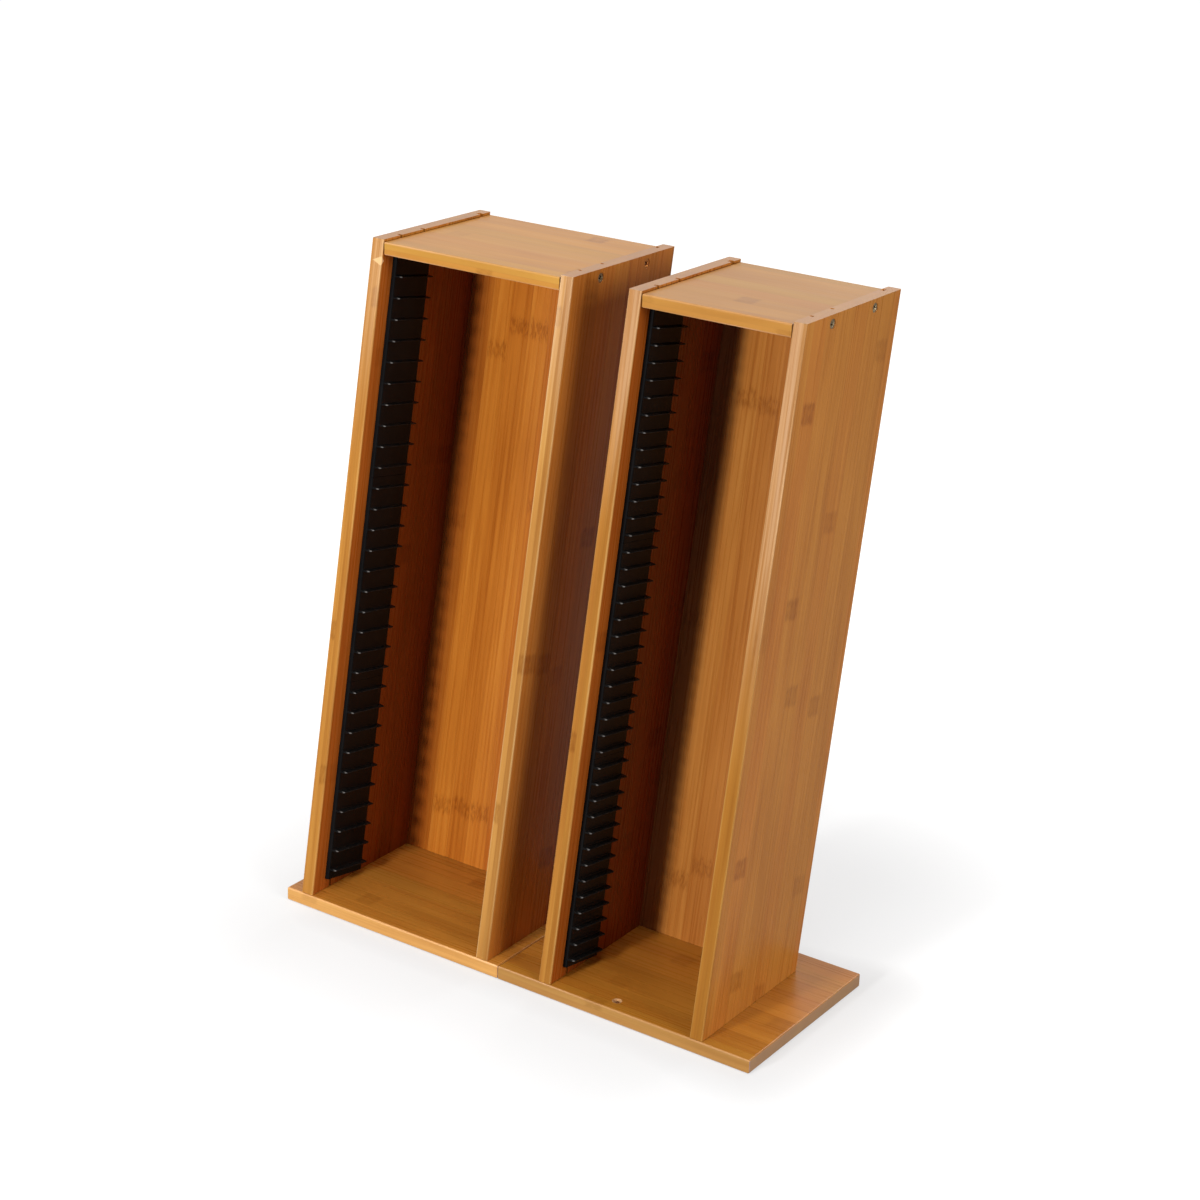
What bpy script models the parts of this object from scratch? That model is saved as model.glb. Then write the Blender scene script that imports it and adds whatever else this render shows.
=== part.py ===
"""Pair of leaning bamboo media racks, standing base to base.

Each rack is a base board that carries a tower. The tower has two grooved side boards,
a top board screwed between them, a thin back panel held in grooves, and finned plastic
strips whose tongues are pressed into the side boards. Two facing fins make one shelf.
Units are metres, +Z is up, +Y points to the back, and the origin is on the floor under
the middle of the pair.
"""

import math

import bmesh
import bpy
from mathutils import Matrix, Vector

# Boards
LEAN = math.radians(9.3)
BASE_THICKNESS = 0.012
BASE_DEPTH = 0.180
SIDE_THICKNESS = 0.012
SIDE_DEPTH = 0.147
SIDE_LENGTH = 0.580
SIDE_SETBACK = 0.001
TOP_THICKNESS = 0.011
TOP_DROP = 0.002
BACK_THICKNESS = 0.004
BACK_SETBACK = 0.011
BACK_GROOVE_DEPTH = 0.0045
ARRIS_RADIUS = 0.0012
ARRIS_STEPS = 3

# Left rack, the wide one: how far its base stands out past the tower, bay between its walls, fin pitch
LEFT_OUTER_OVERHANG = 0.0158
LEFT_SEAM_OVERHANG = 0.0117
LEFT_BAY_WIDTH = 0.1805
LEFT_PITCH = 0.0182

# Right rack, the narrow one
RIGHT_SEAM_OVERHANG = 0.0414
RIGHT_OUTER_OVERHANG = 0.0453
RIGHT_BAY_WIDTH = 0.1373
RIGHT_PITCH = 0.0140

# Slot strips, end to end up each wall; the top one runs on past its last fin to the top board
STRIP_LEVELS = ("lower", "middle", "upper")
STRIP_FROM_FRONT = 0.0155
STRIP_WIDTH = 0.0465
STRIP_THICKNESS = 0.004
STRIP_FOOT_GAP = 0.0028
STRIP_HEAD_GAP = 0.002
STRIP_PLAIN_HEAD = 0.0085
TONGUE_SPACING = 0.0306
TONGUE_THICKNESS = 0.0020
TONGUE_DEPTH = 0.0036
FIN_REACH = 0.006
FIN_ROOT_THICKNESS = 0.0016
FIN_TIP_THICKNESS = 0.0010
FIN_END_INSET = 0.0005
FIN_NOSE_RADIUS = 0.0045
FIN_NOSE_STEPS = 3
FIN_HEEL_RADIUS = 0.0015
FIN_HEEL_STEPS = 1
FIN_BITE = 0.001

# Countersunk screws
SCREW_SHANK_DIAMETER = 0.004
SCREW_HEAD_DIAMETER = 0.008
SCREW_LENGTH = 0.035
SCREW_TIP_LENGTH = 0.005
SCREW_RECESS = 0.0005
SCREW_SIDES = 12
TOP_SCREW_INSET = 0.041
BASE_SCREW_INSET = 0.041

# Bare hole through the right base board, just inside the tower's mouth
BASE_HOLE_DIAMETER = 0.008
BASE_HOLE_FROM_SEAM = 0.112
BASE_HOLE_FROM_FRONT = 0.014
BASE_HOLE_SIDES = 16

# Gap between pieces that touch, and how far a cutter stands out of the face it enters
CLEARANCE = 0.0003
CUTTER_OVERRUN = 0.002

# Edges that turn by more than this are drawn sharp; the rest are shaded smooth
SHARP_ANGLE = math.radians(50.0)

# Finishes: linear colour, roughness, metallic
FINISHES = {
    "caramel_bamboo": ((0.48, 0.18, 0.03), 0.42, 0.0),
    "black_plastic": ((0.012, 0.012, 0.013), 0.45, 0.0),
    "bronzed_steel": ((0.22, 0.15, 0.08), 0.38, 1.0),
}

# Sizes that follow from the ones above
SIDE_HEIGHT = SIDE_LENGTH * math.cos(LEAN)
SIDE_RUN = SIDE_DEPTH / math.cos(LEAN)
BACK_FROM_FRONT = SIDE_DEPTH - BACK_SETBACK - BACK_THICKNESS
TOP_CEILING = SIDE_HEIGHT - TOP_DROP - TOP_THICKNESS
LEFT_BASE_WIDTH = LEFT_OUTER_OVERHANG + LEFT_BAY_WIDTH + 2.0 * SIDE_THICKNESS + LEFT_SEAM_OVERHANG
RIGHT_BASE_WIDTH = RIGHT_SEAM_OVERHANG + RIGHT_BAY_WIDTH + 2.0 * SIDE_THICKNESS + RIGHT_OUTER_OVERHANG
OVERALL_WIDTH = LEFT_BASE_WIDTH + CLEARANCE + RIGHT_BASE_WIDTH
OVERALL_DEPTH = max(BASE_DEPTH, SIDE_SETBACK + SIDE_HEIGHT * math.tan(LEAN) + SIDE_RUN)


def clear_scene():
    for old in list(bpy.data.objects):
        bpy.data.objects.remove(old, do_unlink=True)


def make_finish(name):
    colour, roughness, metallic = FINISHES[name]
    finish = bpy.data.materials.new(name)
    finish.use_nodes = True
    shader = finish.node_tree.nodes["Principled BSDF"]
    shader.inputs["Base Color"].default_value = (*colour, 1.0)
    shader.inputs["Roughness"].default_value = roughness
    shader.inputs["Metallic"].default_value = metallic
    finish.diffuse_color = (*colour, 1.0)
    return finish


def add_frame(name, location, parent=None, lean=0.0):
    """An empty that carries pieces; leaning back turns its Z axis towards +Y."""
    frame = bpy.data.objects.new(name, None)
    frame.location = location
    frame.rotation_euler = (-lean, 0.0, 0.0)
    frame.parent = parent
    bpy.context.scene.collection.objects.link(frame)
    return frame


def add_piece(name, mesh_data, finish, parent):
    mesh = bpy.data.meshes.new(name)
    mesh_data.normal_update()
    mesh_data.to_mesh(mesh)
    mesh_data.free()
    mesh.shade_smooth()
    mesh.set_sharp_from_angle(angle=SHARP_ANGLE)
    piece = bpy.data.objects.new(name, mesh)
    piece.parent = parent
    if finish:
        mesh.materials.append(finish)
    bpy.context.scene.collection.objects.link(piece)
    return piece


def add_cutter(name, mesh_data, parent):
    cutter = add_piece(name, mesh_data, None, parent)
    cutter.hide_render = True
    cutter.display_type = "WIRE"
    return cutter


def combine(piece, other, operation):
    boolean = piece.modifiers.new(other.name, "BOOLEAN")
    boolean.operation = operation
    boolean.solver = "EXACT"
    boolean.object = other


def ease_edges(piece):
    bevel = piece.modifiers.new("arris", "BEVEL")
    bevel.width = ARRIS_RADIUS
    bevel.segments = ARRIS_STEPS
    bevel.limit_method = "NONE"
    bevel.harden_normals = True


def corner(centre, radius, start_degrees, steps):
    """Quarter circle of points, turning left from the start angle."""
    angles = [math.radians(start_degrees + 90.0 * step / steps) for step in range(steps + 1)]
    return [(centre[0] + radius * math.cos(a), centre[1] + radius * math.sin(a)) for a in angles]


def add_prism(mesh_data, outline, low, high, slope=0.0):
    """Extrudes an outline along Z; both ends rise with the outline's second coordinate by slope."""
    bottom = [mesh_data.verts.new((x, y, low + slope * y)) for x, y in outline]
    top = [mesh_data.verts.new((x, y, high + slope * y)) for x, y in outline]
    mesh_data.faces.new(list(reversed(bottom)))
    mesh_data.faces.new(top)
    count = len(outline)
    for index in range(count):
        following = (index + 1) % count
        mesh_data.faces.new((bottom[index], bottom[following], top[following], top[index]))
    return bottom, top


def mirrored(outline, width):
    """The same outline seen in a mirror, still running anticlockwise."""
    return [(width - x, y) for x, y in reversed(outline)]


def add_turned(mesh_data, profile, sides, place):
    """Revolves (radius, height) points, listed from the bottom pole to the top pole, about Z."""
    rings = []
    for radius, height in profile:
        if radius == 0.0:
            rings.append([mesh_data.verts.new(place @ Vector((0.0, 0.0, height)))])
            continue
        turns = [2.0 * math.pi * (side + 0.5) / sides for side in range(sides)]
        ring = [Vector((radius * math.cos(t), radius * math.sin(t), height)) for t in turns]
        rings.append([mesh_data.verts.new(place @ spot) for spot in ring])
    for lower, upper in zip(rings, rings[1:]):
        for side in range(sides):
            following = (side + 1) % sides
            if len(lower) == 1:
                mesh_data.faces.new((lower[0], upper[following], upper[side]))
            elif len(upper) == 1:
                mesh_data.faces.new((lower[side], lower[following], upper[0]))
            else:
                mesh_data.faces.new((lower[side], lower[following], upper[following], upper[side]))


def box_data(low, high):
    size = [h - l for l, h in zip(low, high)]
    middle = [(h + l) / 2.0 for l, h in zip(low, high)]
    mesh_data = bmesh.new()
    bmesh.ops.create_cube(mesh_data, size=1.0)
    bmesh.ops.scale(mesh_data, vec=size, verts=mesh_data.verts)
    bmesh.ops.translate(mesh_data, vec=middle, verts=mesh_data.verts)
    return mesh_data


def screw_profile():
    """Countersunk screw, head face at height 0, point downwards."""
    shank = SCREW_SHANK_DIAMETER / 2.0
    head = SCREW_HEAD_DIAMETER / 2.0
    return [
        (0.0, -SCREW_LENGTH),
        (shank, -SCREW_LENGTH + SCREW_TIP_LENGTH),
        (shank, -(head - shank)),
        (head, 0.0),
        (0.0, 0.0),
    ]


def screw_hole_profile():
    """Countersunk hole that the screw sits in, open above the board's face."""
    shank = SCREW_SHANK_DIAMETER / 2.0 + CLEARANCE
    head = SCREW_HEAD_DIAMETER / 2.0 + CLEARANCE
    mouth = SCREW_RECESS + CUTTER_OVERRUN
    return [
        (0.0, -SCREW_LENGTH - CLEARANCE),
        (shank, -SCREW_LENGTH - CLEARANCE),
        (shank, -(head - shank)),
        (head, 0.0),
        (head, mouth),
        (0.0, mouth),
    ]


def screw_holes_data(places):
    mesh_data = bmesh.new()
    for place in places:
        add_turned(mesh_data, screw_hole_profile(), SCREW_SIDES, place)
    return mesh_data


def add_screws(name, places, finish, parent):
    """Screws that share one mesh, numbered in the order of their places."""
    mesh_data = bmesh.new()
    add_turned(mesh_data, screw_profile(), SCREW_SIDES, Matrix.Identity(4))
    first = add_piece(f"{name}_1", mesh_data, finish, parent)
    first.matrix_local = places[0]
    for number, place in enumerate(places[1:], start=2):
        screw = bpy.data.objects.new(f"{name}_{number}", first.data)
        screw.parent = parent
        screw.matrix_local = place
        bpy.context.scene.collection.objects.link(screw)


def side_outline():
    """Section of a left side board: grooves for both strip tongues and the back panel on its inner face."""
    inner = SIDE_THICKNESS
    radius = ARRIS_RADIUS
    strip_middle = STRIP_FROM_FRONT + STRIP_WIDTH / 2.0
    tongue_half = TONGUE_THICKNESS / 2.0 + CLEARANCE
    tongue_floor = inner - TONGUE_DEPTH - CLEARANCE
    grooves = []
    for direction in (-1, 1):
        middle = strip_middle + direction * TONGUE_SPACING / 2.0
        grooves.append((middle - tongue_half, middle + tongue_half, tongue_floor))
    back_low = BACK_FROM_FRONT - CLEARANCE
    back_high = BACK_FROM_FRONT + BACK_THICKNESS + CLEARANCE
    grooves.append((back_low, back_high, inner - BACK_GROOVE_DEPTH))

    outline = corner((radius, radius), radius, 180.0, ARRIS_STEPS)
    outline += corner((inner - radius, radius), radius, 270.0, ARRIS_STEPS)
    for low, high, floor in grooves:
        outline += [(inner, low), (floor, low), (floor, high), (inner, high)]
    outline += corner((inner - radius, SIDE_DEPTH - radius), radius, 0.0, ARRIS_STEPS)
    outline += corner((radius, SIDE_DEPTH - radius), radius, 90.0, ARRIS_STEPS)
    return outline


def side_data(is_left):
    outline = side_outline() if is_left else mirrored(side_outline(), SIDE_THICKNESS)
    foot = CLEARANCE / math.cos(LEAN)
    mesh_data = bmesh.new()
    add_prism(mesh_data, outline, foot, SIDE_LENGTH, math.tan(LEAN))
    return mesh_data


def back_data(bay_width):
    reach = BACK_GROOVE_DEPTH - CLEARANCE
    low, high = BACK_FROM_FRONT, BACK_FROM_FRONT + BACK_THICKNESS
    left, right = -reach, bay_width + reach
    outline = [(left, low), (right, low), (right, high), (left, high)]
    foot = CLEARANCE / math.cos(LEAN)
    head = (TOP_CEILING - CLEARANCE) / math.cos(LEAN)
    mesh_data = bmesh.new()
    add_prism(mesh_data, outline, foot, head, math.tan(LEAN))
    return mesh_data


def strip_span():
    """Lower end of a wall's strips and the length of one finned section, both along the lean."""
    strip_heel = STRIP_FROM_FRONT + STRIP_WIDTH
    start = strip_heel * math.tan(LEAN) + STRIP_FOOT_GAP
    ceiling = TOP_CEILING / math.cos(LEAN) + STRIP_FROM_FRONT * math.tan(LEAN)
    finned = ceiling - STRIP_HEAD_GAP - STRIP_PLAIN_HEAD - start
    return start, finned / len(STRIP_LEVELS)


def strip_outline():
    """Section of a left strip: plate with two tongues behind it; the wall's face is at first coordinate 0."""
    face = STRIP_THICKNESS
    radius = ARRIS_RADIUS
    half = TONGUE_THICKNESS / 2.0
    outline = [(CLEARANCE, 0.0)]
    outline += corner((face - radius, radius), radius, 270.0, ARRIS_STEPS)
    outline += corner((face - radius, STRIP_WIDTH - radius), radius, 0.0, ARRIS_STEPS)
    outline.append((CLEARANCE, STRIP_WIDTH))
    for direction in (1, -1):
        middle = (STRIP_WIDTH + direction * TONGUE_SPACING) / 2.0
        outline += [(CLEARANCE, middle + half), (-TONGUE_DEPTH, middle + half)]
        outline += [(-TONGUE_DEPTH, middle - half), (CLEARANCE, middle - half)]
    return outline


def fin_outline():
    """Plan of a left fin: rounded nose at the front, small heel radius behind, root bitten into the plate."""
    root = STRIP_THICKNESS - FIN_BITE
    tip = STRIP_THICKNESS + FIN_REACH
    front = FIN_END_INSET
    rear = STRIP_WIDTH - FIN_END_INSET
    nose = (tip - FIN_NOSE_RADIUS, front + FIN_NOSE_RADIUS)
    heel = (tip - FIN_HEEL_RADIUS, rear - FIN_HEEL_RADIUS)
    outline = [(root, front)]
    outline += corner(nose, FIN_NOSE_RADIUS, 270.0, FIN_NOSE_STEPS)
    outline += corner(heel, FIN_HEEL_RADIUS, 0.0, FIN_HEEL_STEPS)
    outline.append((root, rear))
    return outline


def fin_half_thickness(distance):
    """Half of a fin's thickness at a distance from the wall: it thins evenly from root to tip."""
    share = max(0.0, (distance - STRIP_THICKNESS) / FIN_REACH)
    return (FIN_ROOT_THICKNESS + (FIN_TIP_THICKNESS - FIN_ROOT_THICKNESS) * share) / 2.0


def fins_data(length, pitch, is_left):
    """All fins of one section, a whole number of pitches centred on its length."""
    count = int((length - FIN_ROOT_THICKNESS) / pitch) + 1
    first = (length - (count - 1) * pitch) / 2.0
    plan = fin_outline()
    mesh_data = bmesh.new()
    for index in range(count):
        middle = first + index * pitch
        outline = plan if is_left else mirrored(plan, 0.0)
        bottom, top = add_prism(mesh_data, outline, middle, middle)
        for lower, upper in zip(bottom, top):
            half = fin_half_thickness(abs(lower.co.x))
            lower.co.z -= half
            upper.co.z += half
    return mesh_data


def add_strip(name, tower, wall_x, is_left, pitch, finish):
    start, section = strip_span()
    outline = strip_outline() if is_left else mirrored(strip_outline(), 0.0)
    for index, level in enumerate(STRIP_LEVELS):
        place = (wall_x, STRIP_FROM_FRONT, start + index * section)
        seat = add_frame(f"{name}_{level}_seat", place, tower)
        length = section - CLEARANCE
        head = STRIP_PLAIN_HEAD if level == STRIP_LEVELS[-1] else 0.0
        plate = bmesh.new()
        add_prism(plate, outline, 0.0, length + head)
        strip = add_piece(f"{name}_{level}", plate, finish, seat)
        fins = add_cutter(f"{name}_{level}_fins", fins_data(length, pitch, is_left), seat)
        combine(strip, fins, "UNION")


def top_screw_places(tower_width):
    """Screws through both side boards into the ends of the top board, level with its middle."""
    height = SIDE_HEIGHT - TOP_DROP - TOP_THICKNESS / 2.0
    front = height * math.tan(LEAN)
    places = []
    for y in (front + TOP_SCREW_INSET, front + SIDE_RUN - TOP_SCREW_INSET):
        left = Matrix.Translation((SCREW_RECESS, y, height)) @ Matrix.Rotation(math.radians(-90.0), 4, "Y")
        right_x = tower_width - SCREW_RECESS
        right = Matrix.Translation((right_x, y, height)) @ Matrix.Rotation(math.radians(90.0), 4, "Y")
        places += [left, right]
    return places


def base_screw_places(tower_width):
    """Screws up through the base board into the foot of each side board."""
    head_z = SCREW_RECESS - BASE_THICKNESS
    places = []
    for x in (SIDE_THICKNESS / 2.0, tower_width - SIDE_THICKNESS / 2.0):
        for y in (BASE_SCREW_INSET, SIDE_RUN - BASE_SCREW_INSET):
            places.append(Matrix.Translation((x, y, head_z)) @ Matrix.Rotation(math.radians(180.0), 4, "X"))
    return places


def base_hole_data():
    reach = BASE_HOLE_DIAMETER / 2.0
    low, high = -CUTTER_OVERRUN, BASE_THICKNESS + CUTTER_OVERRUN
    profile = [(0.0, low), (reach, low), (reach, high), (0.0, high)]
    mesh_data = bmesh.new()
    place = Matrix.Translation((BASE_HOLE_FROM_SEAM, BASE_HOLE_FROM_FRONT, 0.0))
    add_turned(mesh_data, profile, BASE_HOLE_SIDES, place)
    return mesh_data


def add_rack(name, origin_x, base_width, overhang, bay_width, pitch, finishes):
    """One base board and its tower; returns the base's frame and the base board."""
    bamboo = finishes["caramel_bamboo"]
    tower_width = bay_width + 2.0 * SIDE_THICKNESS
    base_frame = add_frame(f"{name}_base_frame", (origin_x, -OVERALL_DEPTH / 2.0, 0.0))
    upright = add_frame(f"{name}_tower_frame", (overhang, SIDE_SETBACK, BASE_THICKNESS), base_frame)
    leaning = add_frame(f"{name}_leaning_frame", (0.0, 0.0, 0.0), upright, LEAN)

    base_box = box_data((0.0, 0.0, 0.0), (base_width, BASE_DEPTH, BASE_THICKNESS))
    base = add_piece(f"{name}_base_board", base_box, bamboo, base_frame)
    ease_edges(base)

    left_side = add_piece(f"{name}_tower_left_side", side_data(True), bamboo, leaning)
    right_side = add_piece(f"{name}_tower_right_side", side_data(False), bamboo, leaning)
    right_side.location.x = tower_width - SIDE_THICKNESS

    top_high = SIDE_HEIGHT - TOP_DROP
    top_front = top_high * math.tan(LEAN)
    top_rear = TOP_CEILING * math.tan(LEAN) + SIDE_RUN
    top_left = SIDE_THICKNESS + CLEARANCE
    top_box = box_data((top_left, top_front, TOP_CEILING), (tower_width - top_left, top_rear, top_high))
    top = add_piece(f"{name}_tower_top_board", top_box, bamboo, upright)
    ease_edges(top)

    back = add_piece(f"{name}_tower_back_panel", back_data(bay_width), bamboo, leaning)
    back.location.x = SIDE_THICKNESS

    plastic = finishes["black_plastic"]
    add_strip(f"{name}_tower_left_strip", leaning, SIDE_THICKNESS, True, pitch, plastic)
    add_strip(f"{name}_tower_right_strip", leaning, SIDE_THICKNESS + bay_width, False, pitch, plastic)

    steel = finishes["bronzed_steel"]
    top_places = top_screw_places(tower_width)
    base_places = base_screw_places(tower_width)
    add_screws(f"{name}_tower_top_screw", top_places, steel, upright)
    add_screws(f"{name}_base_screw", base_places, steel, upright)
    top_holes = add_cutter(f"{name}_top_screw_holes", screw_holes_data(top_places), upright)
    base_holes = add_cutter(f"{name}_base_screw_holes", screw_holes_data(base_places), upright)
    for board in (left_side, right_side, top):
        combine(board, top_holes, "DIFFERENCE")
    for board in (left_side, right_side, base):
        combine(board, base_holes, "DIFFERENCE")
    return base_frame, base


def main():
    clear_scene()
    finishes = {name: make_finish(name) for name in FINISHES}
    left_x = -OVERALL_WIDTH / 2.0
    right_x = left_x + LEFT_BASE_WIDTH + CLEARANCE
    add_rack("left", left_x, LEFT_BASE_WIDTH, LEFT_OUTER_OVERHANG, LEFT_BAY_WIDTH, LEFT_PITCH, finishes)
    right_frame, right_base = add_rack(
        "right", right_x, RIGHT_BASE_WIDTH, RIGHT_SEAM_OVERHANG, RIGHT_BAY_WIDTH, RIGHT_PITCH, finishes
    )
    base_hole = add_cutter("right_base_hole", base_hole_data(), right_frame)
    combine(right_base, base_hole, "DIFFERENCE")


main()
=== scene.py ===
import math
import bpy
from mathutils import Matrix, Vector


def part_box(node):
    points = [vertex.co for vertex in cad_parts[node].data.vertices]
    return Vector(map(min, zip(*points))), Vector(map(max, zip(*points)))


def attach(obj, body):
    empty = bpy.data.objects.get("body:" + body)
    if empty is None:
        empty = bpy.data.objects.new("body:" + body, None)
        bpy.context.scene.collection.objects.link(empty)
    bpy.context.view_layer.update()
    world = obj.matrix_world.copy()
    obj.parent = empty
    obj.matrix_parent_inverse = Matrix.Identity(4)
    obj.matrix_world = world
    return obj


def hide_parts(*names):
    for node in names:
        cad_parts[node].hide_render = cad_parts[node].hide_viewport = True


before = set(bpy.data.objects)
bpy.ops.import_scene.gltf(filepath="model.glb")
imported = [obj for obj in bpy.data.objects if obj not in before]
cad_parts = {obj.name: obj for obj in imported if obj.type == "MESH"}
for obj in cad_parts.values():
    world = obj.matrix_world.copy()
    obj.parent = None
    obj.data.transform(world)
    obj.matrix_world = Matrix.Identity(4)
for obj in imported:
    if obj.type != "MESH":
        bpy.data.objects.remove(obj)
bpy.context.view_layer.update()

from types import SimpleNamespace

import bmesh
import bpy
import numpy as np
from mathutils import Matrix, Vector

print("frame loaded:", len(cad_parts), "nodes")

# Each tower has its own axes: x across the bay, depth back from the sides' front edges, height up the lean
tower = {"lean": 9.3, "sideDepth": 0.147, "backFrom": 0.132, "backThickness": 0.004}
lean = math.radians(tower["lean"])
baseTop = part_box("left_base_board")[1].z
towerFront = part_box("left_tower_left_side")[0].y

mending = {"merge": 1e-6, "sharpAngle": math.radians(40.0)}


def towerToRow(x, depth, height):  # turns tower coordinates about X by the lean and sets them on the base
    y = towerFront + height * math.sin(lean) + depth * math.cos(lean)
    z = baseTop + height * math.cos(lean) - depth * math.sin(lean)
    return np.stack(np.broadcast_arrays(x, y, z), axis=-1)


def arc(centre, radius, start, end, steps):  # points of a circle from one angle to another, in degrees
    turn = np.radians(np.linspace(start, end, steps + 1))
    return np.stack([centre[0] + radius * np.cos(turn), centre[1] + radius * np.sin(turn)], axis=-1)


def gridFaces(rows, columns):  # quads of a grid whose columns close into a ring
    index = np.arange(rows * columns).reshape(rows, columns)
    ahead = np.roll(index, -1, axis=1)
    return np.stack([index[:-1], ahead[:-1], ahead[1:], index[1:]], axis=-1).reshape(-1, 4).tolist()


def addPiece(name, points, faces, finish, node, marks):
    mesh = bpy.data.meshes.new(name)
    mesh.from_pydata(points.tolist(), [], faces)
    for label, values in marks.items():
        layer = mesh.attributes.new(label, "FLOAT", "POINT")
        layer.data.foreach_set("value", values.astype(np.float32))
    shape = bmesh.new()
    shape.from_mesh(mesh)
    bmesh.ops.remove_doubles(shape, verts=shape.verts, dist=mending["merge"])
    bmesh.ops.dissolve_degenerate(shape, edges=shape.edges, dist=mending["merge"])
    bmesh.ops.recalc_face_normals(shape, faces=shape.faces)
    shape.to_mesh(mesh)
    shape.free()
    mesh.shade_smooth()
    mesh.set_sharp_from_angle(angle=mending["sharpAngle"])
    mesh.materials.append(finish)
    piece = bpy.data.objects.new(name, mesh)
    bpy.context.scene.collection.objects.link(piece)
    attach(piece, "root")
    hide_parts(node)


class Graph:  # short calls for the nodes of a material or world; a value is a number, a tuple or a socket
    def __init__(self, owner):
        owner.use_nodes = True
        self.owner = owner
        self.tree = owner.node_tree

    def add(self, kind, values=None, **settings):
        node = self.tree.nodes.new(kind)
        for key, setting in settings.items():
            setattr(node, key, setting)
        for key, value in (values or {}).items():
            self.plug(value, node.inputs[key])
        return node

    def plug(self, value, socket):
        if isinstance(value, bpy.types.NodeSocket):
            self.tree.links.new(value, socket)
        else:
            socket.default_value = value

    def finish(self, shader, values):  # fills the shader's sockets and gives back the material or world
        for key, value in values.items():
            self.plug(value, self.tree.nodes[shader].inputs[key])
        return self.owner

    def math(self, operation, *values):
        return self.add("ShaderNodeMath", dict(enumerate(values)), operation=operation).outputs[0]

    def times(self, first, *others):
        for other in others:
            first = self.math("MULTIPLY", first, other)
        return first

    def sway(self, noise, strength, onto):  # moves a value by a noise of 0 to 1, half of it each way
        return self.math("MULTIPLY_ADD", self.math("SUBTRACT", noise, 0.5), strength, onto)

    def fromEnds(self, place, length):  # distance from the nearer end of a length
        return self.math("MINIMUM", place, self.math("SUBTRACT", length, place))

    def vector(self, operation, *values):
        node = self.add("ShaderNodeVectorMath", dict(enumerate(values)), operation=operation)
        return node.outputs["Value" if operation in ("DOT_PRODUCT", "LENGTH") else "Vector"]

    def join(self, x, y, z):
        return self.add("ShaderNodeCombineXYZ", {"X": x, "Y": y, "Z": z}).outputs[0]

    def split(self, vector):
        return self.add("ShaderNodeSeparateXYZ", {0: vector}).outputs

    def noise(self, vector, scale, detail, rough, warp=0.0):
        values = {"Vector": vector, "Scale": scale, "Detail": detail, "Roughness": rough}
        return self.add("ShaderNodeTexNoise", {**values, "Distortion": warp}).outputs["Fac"]

    def ease(self, value, start, end, low=0.0, high=1.0):  # smooth step from start to end, either way round
        values = {"Value": value, "From Min": start, "From Max": end, "To Min": low, "To Max": high}
        return self.add("ShaderNodeMapRange", values, interpolation_type="SMOOTHSTEP").outputs[0]

    def mix(self, share, first, second, blend="MIX"):  # a plain colour is a tuple of three
        node = self.add("ShaderNodeMix", data_type="RGBA", blend_type=blend)
        for key, value in {"Factor": share, "A": first, "B": second}.items():
            filled = (*value, 1.0) if isinstance(value, tuple) else value
            self.plug(filled, next(s for s in node.inputs if s.name == key and s.enabled))
        return next(s for s in node.outputs if s.enabled)

    def ramp(self, share, stops, interpolation="LINEAR"):
        node = self.add("ShaderNodeValToRGB", {"Fac": share})
        node.color_ramp.interpolation = interpolation
        elements = node.color_ramp.elements
        while len(elements) < len(stops):
            elements.new(1.0)
        for element, (place, colour) in zip(elements, stops):
            element.position = place
            element.color = (*colour, 1.0)
        return node.outputs["Color"]

    def place(self):
        return self.add("ShaderNodeTexCoord").outputs["Object"]

    def normal(self):
        return self.add("ShaderNodeTexCoord").outputs["Normal"]

    def mark(self, label):
        return self.add("ShaderNodeAttribute", attribute_name=label).outputs["Fac"]

    def bump(self, height, strength, distance):
        values = {"Height": height, "Strength": strength, "Distance": distance}
        return self.add("ShaderNodeBump", values).outputs[0]


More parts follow.
